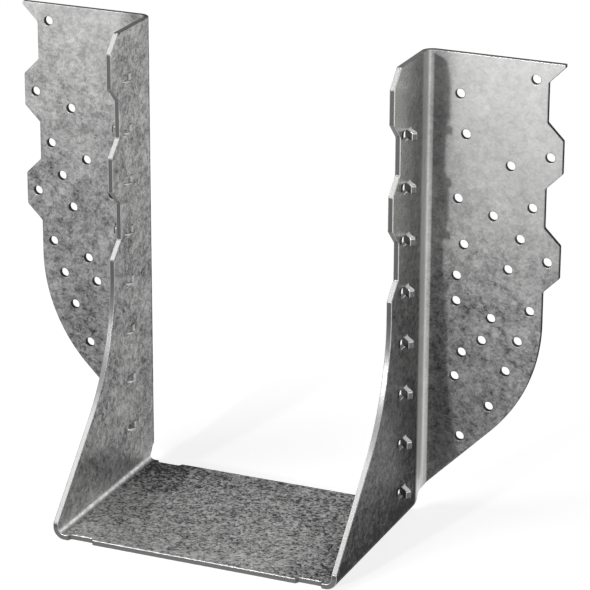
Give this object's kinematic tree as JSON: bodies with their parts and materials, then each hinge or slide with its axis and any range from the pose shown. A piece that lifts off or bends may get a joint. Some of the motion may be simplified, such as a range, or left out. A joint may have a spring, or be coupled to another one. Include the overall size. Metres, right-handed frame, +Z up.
{
  "type": "joist hanger",
  "caption": "Face-mounted steel joist hanger: a U-shaped seat with outward nailing flanges, notched edges, nail holes and bent-out nail guide tabs in its walls.",
  "frame": {"origin": "on the seat's underside, midway between the walls, halfway between the flanges' back faces and the seat's front edge", "axes": "+Z up, +Y towards the header, +X across the joist to the right as seen from the front"},
  "size_m": [0.2774, 0.1086, 0.2291],
  "materials": {
    "galvanised_steel": "hot-dip galvanised, with visible grey spangle, satin"
  },
  "bodies": {
    "root": {"hanger": "galvanised_steel"}
  },
  "joints": []
}
